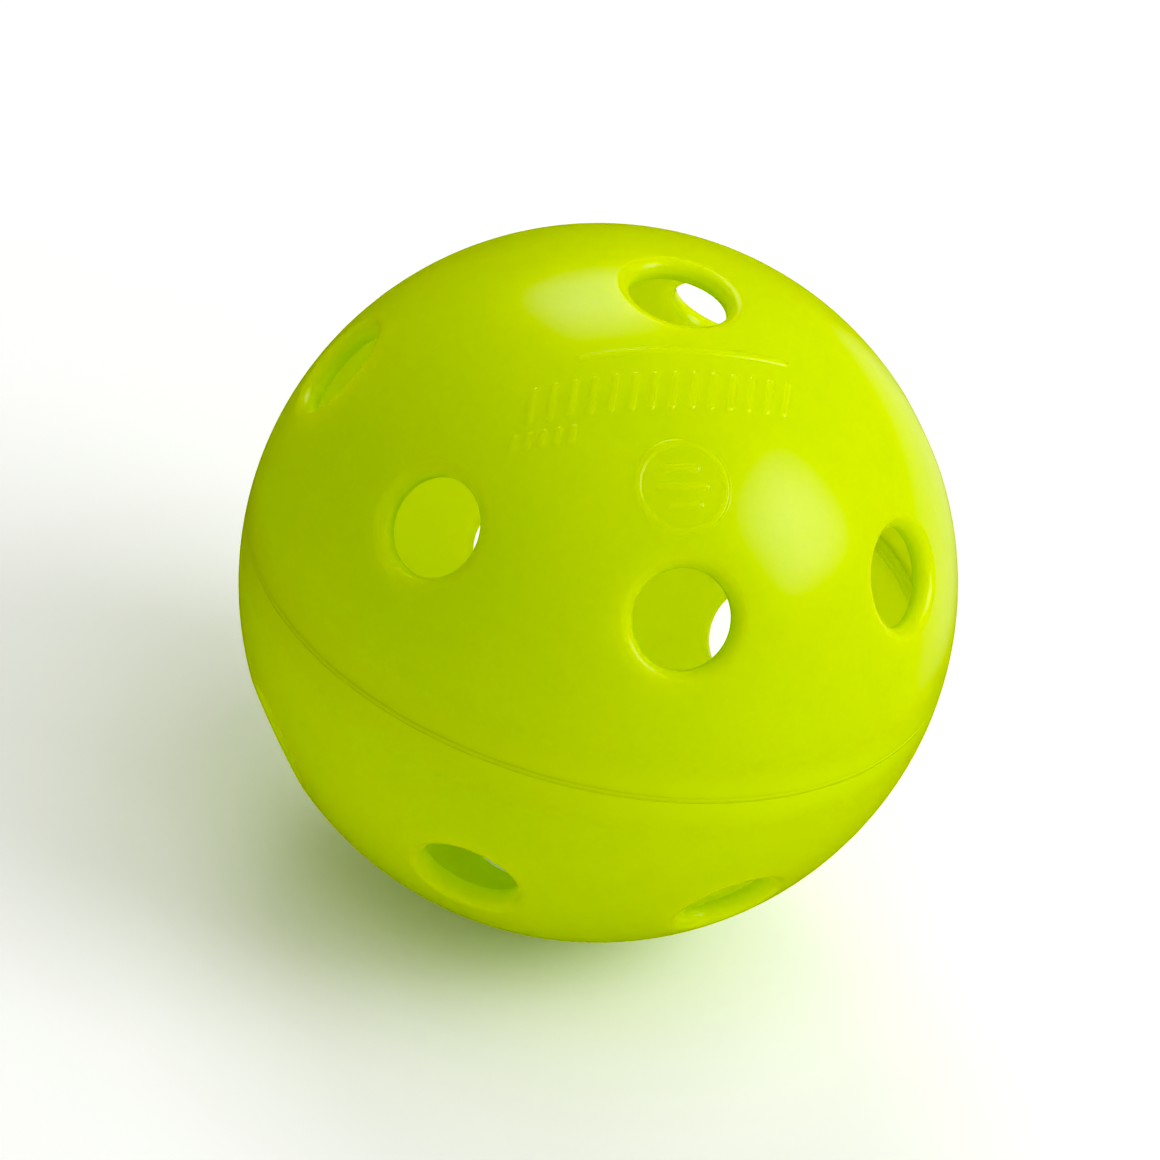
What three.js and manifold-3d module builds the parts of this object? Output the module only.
// A perforated plastic ball for pickleball: two identical moulded half shells,
// one turned over, and the ring of plastic that the weld leaves between their rims.
// Millimetres, +Z up. The origin is the ball's centre and +Z runs through its poles.
import * as THREE from 'three';
import { mergeVertices } from 'three/addons/utils/BufferGeometryUtils.js';
import Module from 'manifold-3d';

const BALL_DIAMETER = 74;
const WALL = 2.2;

// Each half has one hole at its pole and a ring of holes round it
const HOLE_DIAMETER = 10.3;
const RING_HOLES = 7;
const RING_POLAR_ANGLE = 60; // degrees from the pole to a ring hole's axis
const FIRST_HOLE_AZIMUTH = -90; // degrees: one upper ring hole faces -Y
const RIM_FILLET = 1.3; // rounding of each hole's outer edge

// The weld joins the two flat rims at the equator
const WELD_THICKNESS = 0.6;
const BEAD_HEIGHT = 1.8; // along Z, where the weld swells inside the ball
const BEAD_DEPTH = 0.7; // how far that swelling stands in from the wall
const BEAD_CLEARANCE = 0.1; // between the swelling and the wall behind it

// Facets: a multiple of eight per ring hole keeps every hole's surroundings alike
const FACETS_ROUND_BALL = 8 * RING_HOLES;
const FACETS_POLE_TO_RIM = 12;
const FACETS_ROUND_HOLE = 24;
const FACETS_ON_FILLET = 3; // on its quarter circle, before the short run to the ball's surface
const FACETS_ON_BEAD = 6;
const CUTTER_OVERRUN = 3; // how far a hole's cutter runs past both faces of the wall

const ballRadius = BALL_DIAMETER / 2;
const innerRadius = ballRadius - WALL;
const holeRadius = HOLE_DIAMETER / 2;
const halfWeld = WELD_THICKNESS / 2;

const wasm = await Module();
wasm.setup();

// The distance from the Z axis to a sphere's surface at a given height
function radiusAtHeight(sphereRadius, height) {
  return Math.sqrt(sphereRadius ** 2 - height ** 2);
}

// Points on a circular or elliptical arc between two angles, both ends included
function arc(centre, radiusX, radiusY, startAngle, endAngle, steps) {
  const points = [];
  for (let i = 0; i <= steps; i += 1) {
    const angle = THREE.MathUtils.lerp(startAngle, endAngle, i / steps);
    const x = centre.x + radiusX * Math.cos(angle);
    const y = centre.y + radiusY * Math.sin(angle);
    points.push(new THREE.Vector2(x, y));
  }
  return points;
}

// A profile of (distance from the axis, height) points turned about +Z
function turned(profile, facets) {
  const geometry = new THREE.LatheGeometry(profile, facets);
  geometry.rotateX(Math.PI / 2);
  geometry.deleteAttribute('normal');
  geometry.deleteAttribute('uv');
  return mergeVertices(geometry);
}

function toSolid(geometry) {
  const vertProperties = Float32Array.from(geometry.attributes.position.array);
  const triVerts = Uint32Array.from(geometry.index.array);
  return new wasm.Manifold(new wasm.Mesh({ numProp: 3, vertProperties, triVerts }));
}

function toGeometry(solid) {
  const mesh = solid.getMesh();
  const geometry = new THREE.BufferGeometry();
  geometry.setAttribute('position', new THREE.BufferAttribute(mesh.vertProperties, 3));
  geometry.setIndex(new THREE.BufferAttribute(mesh.triVerts, 1));
  geometry.computeVertexNormals();
  return geometry;
}

// Half of a hollow ball with a flat rim, its pole on +Z. The last row of outer facets before
// the pole starts over the top of the polar hole's fillet, so the fillet keeps its full height.
function bowl() {
  const centre = new THREE.Vector2(0, 0);
  const innerRimAngle = Math.asin(halfWeld / innerRadius);
  const outerRimAngle = Math.asin(halfWeld / ballRadius);
  const outerLastRowAngle = Math.acos((holeRadius + RIM_FILLET) / ballRadius);
  const inside = arc(centre, innerRadius, innerRadius, Math.PI / 2, innerRimAngle, FACETS_POLE_TO_RIM);
  const outside = arc(
    centre,
    ballRadius,
    ballRadius,
    outerRimAngle,
    outerLastRowAngle,
    FACETS_POLE_TO_RIM - 1,
  );
  const outerPole = new THREE.Vector2(0, ballRadius);
  inside[0].x = 0;
  return toSolid(turned([...inside, ...outside, outerPole], FACETS_ROUND_BALL));
}

// The space of one hole, on +Z: straight through the wall, then flared by the fillet,
// whose arc is tangent to the hole's side and to the ball's surface
function holeCutter() {
  const filletCentre = new THREE.Vector2(holeRadius + RIM_FILLET, 0);
  filletCentre.y = radiusAtHeight(ballRadius - RIM_FILLET, filletCentre.x);
  const flare = arc(
    filletCentre,
    RIM_FILLET,
    RIM_FILLET,
    Math.PI,
    Math.PI / 2,
    FACETS_ON_FILLET,
  );
  const flareEnd = filletCentre.clone().setLength(ballRadius);
  const outerEnd = filletCentre.clone().setLength(ballRadius + CUTTER_OVERRUN);
  const profile = [
    new THREE.Vector2(0, innerRadius - CUTTER_OVERRUN),
    new THREE.Vector2(holeRadius, innerRadius - CUTTER_OVERRUN),
    ...flare,
    flareEnd,
    outerEnd,
    new THREE.Vector2(0, outerEnd.y),
  ];
  return turned(profile, FACETS_ROUND_HOLE);
}

// Turns a cutter from +Z to a ring hole's place
function ringHolePlace(index) {
  const azimuth = FIRST_HOLE_AZIMUTH + (index * 360) / RING_HOLES;
  const tilt = new THREE.Matrix4().makeRotationY(THREE.MathUtils.degToRad(RING_POLAR_ANGLE));
  const turn = new THREE.Matrix4().makeRotationZ(THREE.MathUtils.degToRad(azimuth));
  return turn.multiply(tilt);
}

function halfShell() {
  const cutter = holeCutter();
  let shell = bowl().subtract(toSolid(cutter));
  for (let i = 0; i < RING_HOLES; i += 1) {
    const ringCutter = cutter.clone().applyMatrix4(ringHolePlace(i));
    shell = shell.subtract(toSolid(ringCutter));
  }
  return toGeometry(shell);
}

// The weld's section: a thin web between the rims, flush with the ball outside,
// and a rounded swelling of squeezed-out plastic inside
function weldBead() {
  const rimOuterRadius = radiusAtHeight(ballRadius, halfWeld);
  const rimInnerRadius = radiusAtHeight(innerRadius, halfWeld);
  const swellingCentre = new THREE.Vector2(rimInnerRadius - BEAD_CLEARANCE, 0);
  const swelling = arc(
    swellingCentre,
    BEAD_DEPTH,
    BEAD_HEIGHT / 2,
    Math.PI / 2,
    Math.PI * 1.5,
    FACETS_ON_BEAD,
  );
  const profile = [
    new THREE.Vector2(ballRadius, 0),
    new THREE.Vector2(rimOuterRadius, halfWeld),
    new THREE.Vector2(swellingCentre.x, halfWeld),
    ...swelling,
    new THREE.Vector2(swellingCentre.x, -halfWeld),
    new THREE.Vector2(rimOuterRadius, -halfWeld),
    new THREE.Vector2(ballRadius, 0),
  ];
  return turned(profile, FACETS_ROUND_BALL);
}

function piece(name, geometry, color, roughness) {
  const material = new THREE.MeshStandardMaterial({ color, roughness, metalness: 0 });
  const mesh = new THREE.Mesh(geometry, material);
  mesh.name = name;
  return mesh;
}

const shellGeometry = halfShell();
const upperHalf = piece('upper_half_shell', shellGeometry, 0xc8e600, 0.42);
const lowerHalf = piece('lower_half_shell', shellGeometry.clone(), 0xc4e200, 0.42);
// Turning the same moulding over about X also staggers its ring by half a pitch
lowerHalf.rotation.x = Math.PI;
const weld = piece('weld_bead', weldBead(), 0xb8d800, 0.35);

const ball = new THREE.Group();
ball.add(upperHalf, lowerHalf, weld);

export default ball;
